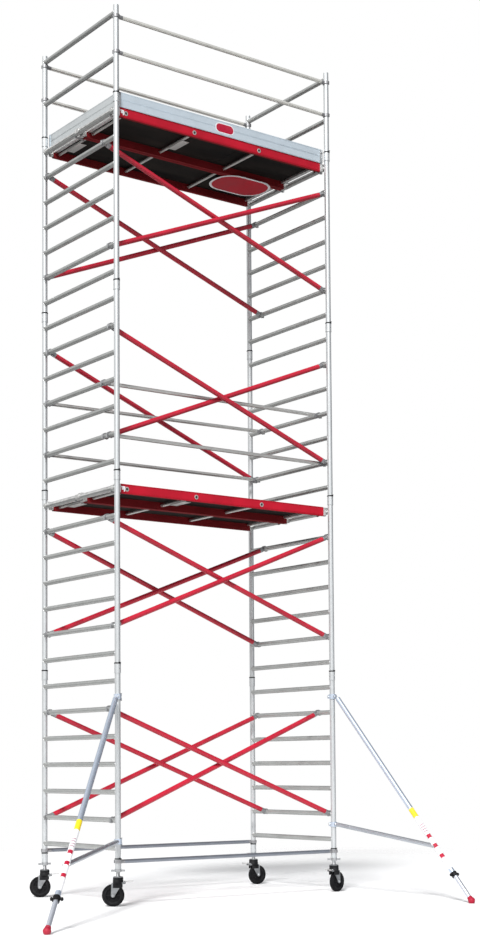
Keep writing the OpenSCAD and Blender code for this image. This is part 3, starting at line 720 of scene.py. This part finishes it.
def stabiliser_details(side, corner):
    """Bands, marks, bolts and grips, placed along the line that the telescopic joint slides on."""
    line = Vector(joints["stabiliser_telescope_" + side]["axis"]).normalized()
    outward = Vector((line.x, line.y, 0)).normalized()
    across = Vector((-outward.y, outward.x, 0))
    axis_post = Vector((post[corner].x, post[corner].y, 0))
    top_dz, low_dz = COUPLER_HEIGHTS[side]
    top = axis_post + outward * EAR + Vector((0, 0, FIRST + top_dz))
    length = (top.z - TOE_Z) / -line.z

    def along(t):
        return top + line * t * length

    def band(bm, t0, t1, r):
        a = along(t0)
        h = (along(t1) - a).length
        lathe(bm, [(r - 0.6 * MM, 0), (r, 0.3 * MM), (r, h - 0.3 * MM), (r - 0.6 * MM, h)], at(*a, line), 40)

    yellow, white, red, faint, bolts, knobs, collar = (bmesh.new() for _ in range(7))
    band(yellow, *YELLOW_BAND, TELESCOPE_R + 0.7 * MM)
    band(white, *WHITE_BAND, TELESCOPE_R + 0.6 * MM)
    for t in RED_MARKS:
        curved_mark(red, along(t), line, 42 * MM, 52)
    for t in FAINT_MARKS:
        curved_mark(faint, along(t), line, 12 * MM, 44)
    for z in (FIRST + top_dz, FIRST + low_dz):
        ear = axis_post + outward * (POST_R + 17 * MM) + Vector((0, 0, z))
        back = axis_post - outward * (POST_R + 20 * MM) + Vector((0, 0, z))
        for s in (-1, 1):
            hexagon(bolts, at(*(ear + across * s * 12 * MM), across * s), 17 * MM, 8 * MM)
            hexagon(bolts, at(*(back + across * s * 14 * MM), across * s), 15 * MM, 7 * MM)
        swing = [back + across * 21 * MM + Vector((0, 0, 34 * MM * k)) for k in (-1, -0.5, 0, 0.5, 1)]
        sweep(bolts, swing, lambda i: (3.5 + 2.5 * abs(i - 2)) * MM, 10)
    join = along(JOIN_AT)
    for s in (-1, 1):
        hexagon(bolts, at(*(join + across * s * (TELESCOPE_R - 1 * MM)), across * s), 17 * MM, 9 * MM)
    mid = along(KNOBS_AT)
    for s, reach_out in ((-1, 38 * MM), (1, 42 * MM)):
        start = mid + across * s * (reach_out - 8 * MM)
        profile = [(0, 0), (11, 0), (15, 4), (16, 10), (14, 17), (8, 20), (0, 21)]
        lathe(knobs, [(r * MM, h * MM) for r, h in profile], at(*start, across * s), 24)
    neck = [(20.2, 0), (22.5, 1), (23.5, 4), (23.5, 10), (25, 13), (25, 17), (23, 20)]
    lathe(collar, [(r * MM, h * MM) for r, h in neck], at(*along(FOOT_COLLAR_AT), line), 40)
    body, slider = "stabiliser_" + side, "stabiliser_slider_" + side
    piece("stabiliser_yellow_band_" + side, yellow, "yellow", body)
    piece("stabiliser_white_bands_" + side, white, "white", body)
    piece("stabiliser_red_marks_" + side, red, "mark_red", body)
    piece("stabiliser_faint_marks_" + side, faint, "faint_mark", body)
    piece("stabiliser_coupler_bolts_" + side, bolts, "zinc", body)
    piece("stabiliser_clamp_knobs_" + side, knobs, "black", body)
    piece("stabiliser_foot_collar_" + side, collar, "red_rubber", slider)


stabiliser_details("left", "fl")
stabiliser_details("right", "fr")

# ---------- floor, light and camera ----------

WHITE = (1.0, 1.0, 1.0)
SHADOW = (0.28, 0.28, 0.28)
SKY = (
    (0.0, (0.10, 0.105, 0.12)), (0.45, (0.34, 0.35, 0.37)),
    (0.75, (0.9, 0.9, 0.9)), (1.0, (0.8, 0.8, 0.8)),
)
SUNS = (
    ("key", 3.6, 12, (0.75, 0.62, -0.85)),
    ("fill", 0.4, 60, (-0.2, 1.0, -0.15)),
)
EYE_LEFT, EYE_FRONT, EYE_UP = 7.626, 12.18, 0.737
YAW, PITCH_UP, ROLL = (math.radians(a) for a in (36.44, 3.38, -0.40))
LENS = 60.74
SHIFT_UP = 0.208


def pale_floor():
    """A pale floor that thins out to nothing a few metres from the tower, so no horizon shows behind it."""
    bm = bmesh.new()
    bmesh.ops.create_grid(bm, x_segments=4, y_segments=4, size=14)
    mesh = bpy.data.meshes.new("floor")
    bm.to_mesh(mesh)
    bm.free()
    m, tree, shader = new_material("pale_floor")
    coords = add(tree, "ShaderNodeTexCoord")
    distance = add(tree, "ShaderNodeVectorMath", operation="LENGTH")
    tree.links.new(coords.outputs["Object"], distance.inputs[0])
    solid = to_range(tree, distance.outputs["Value"], 1.0, 0.0, 3.5, 9.0)
    tree.links.new(solid, shader.inputs["Alpha"])
    shader.inputs["Base Color"].default_value = (0.92, 0.92, 0.92, 1)
    shader.inputs["Roughness"].default_value = 0.9
    shader.inputs["Specular IOR Level"].default_value = 0.0
    mesh.materials.append(m)
    obj = bpy.data.objects.new("floor", mesh)
    bpy.context.scene.collection.objects.link(obj)


def studio():
    """White to the eye; what the metal reflects is darker low down and to one side, which gives it shape."""
    world = bpy.data.worlds.new("studio")
    bpy.context.scene.world = world
    world.use_nodes = True
    tree = world.node_tree
    background = tree.nodes["Background"]
    coords = add(tree, "ShaderNodeTexCoord")
    split = add(tree, "ShaderNodeSeparateXYZ")
    tree.links.new(coords.outputs["Generated"], split.inputs["Vector"])
    side = to_range(tree, split.outputs["X"], 1.0, 0.0, -1.0, 1.0)
    shade = ramp(tree, side, SKY)
    height = to_range(tree, split.outputs["Z"], 0.0, 1.0, -0.12, 0.06)
    whole = mix(tree, height, SHADOW, shade)
    rays = add(tree, "ShaderNodeLightPath")
    seen = mix(tree, rays.outputs["Is Camera Ray"], whole, WHITE)
    tree.links.new(seen, background.inputs["Color"])
    background.inputs["Strength"].default_value = 1.0
    for name, strength, angle, direction in SUNS:
        light = bpy.data.lights.new(name, "SUN")
        light.energy = strength
        light.angle = math.radians(angle)
        obj = bpy.data.objects.new(name, light)
        obj.matrix_world = Vector(direction).to_track_quat("-Z", "Y").to_matrix().to_4x4()
        bpy.context.scene.collection.objects.link(obj)
    bpy.context.scene.view_settings.view_transform = "Standard"


def camera():
    """The eye stands low, in front of the left corner; the lens is shifted up, so the posts stay upright."""
    eye = Vector((X0 - EYE_LEFT, Y0 - EYE_FRONT, FIRST + EYE_UP))
    flat = math.cos(PITCH_UP)
    ahead = Vector((math.sin(YAW) * flat, math.cos(YAW) * flat, math.sin(PITCH_UP)))
    right = Vector((math.cos(YAW), -math.sin(YAW), 0))
    up = right.cross(ahead)
    rolled_right = right * math.cos(ROLL) + up * math.sin(ROLL)
    rolled_up = up * math.cos(ROLL) - right * math.sin(ROLL)
    data = bpy.data.cameras.new("camera")
    data.sensor_width = 36
    data.lens = LENS
    data.shift_y = SHIFT_UP
    data.clip_end = 500
    obj = bpy.data.objects.new("camera", data)
    turn = Matrix((rolled_right, rolled_up, -ahead)).transposed()
    obj.matrix_world = Matrix.Translation(eye) @ turn.to_4x4()
    bpy.context.scene.collection.objects.link(obj)
    bpy.context.scene.camera = obj


pale_floor()
studio()
camera()
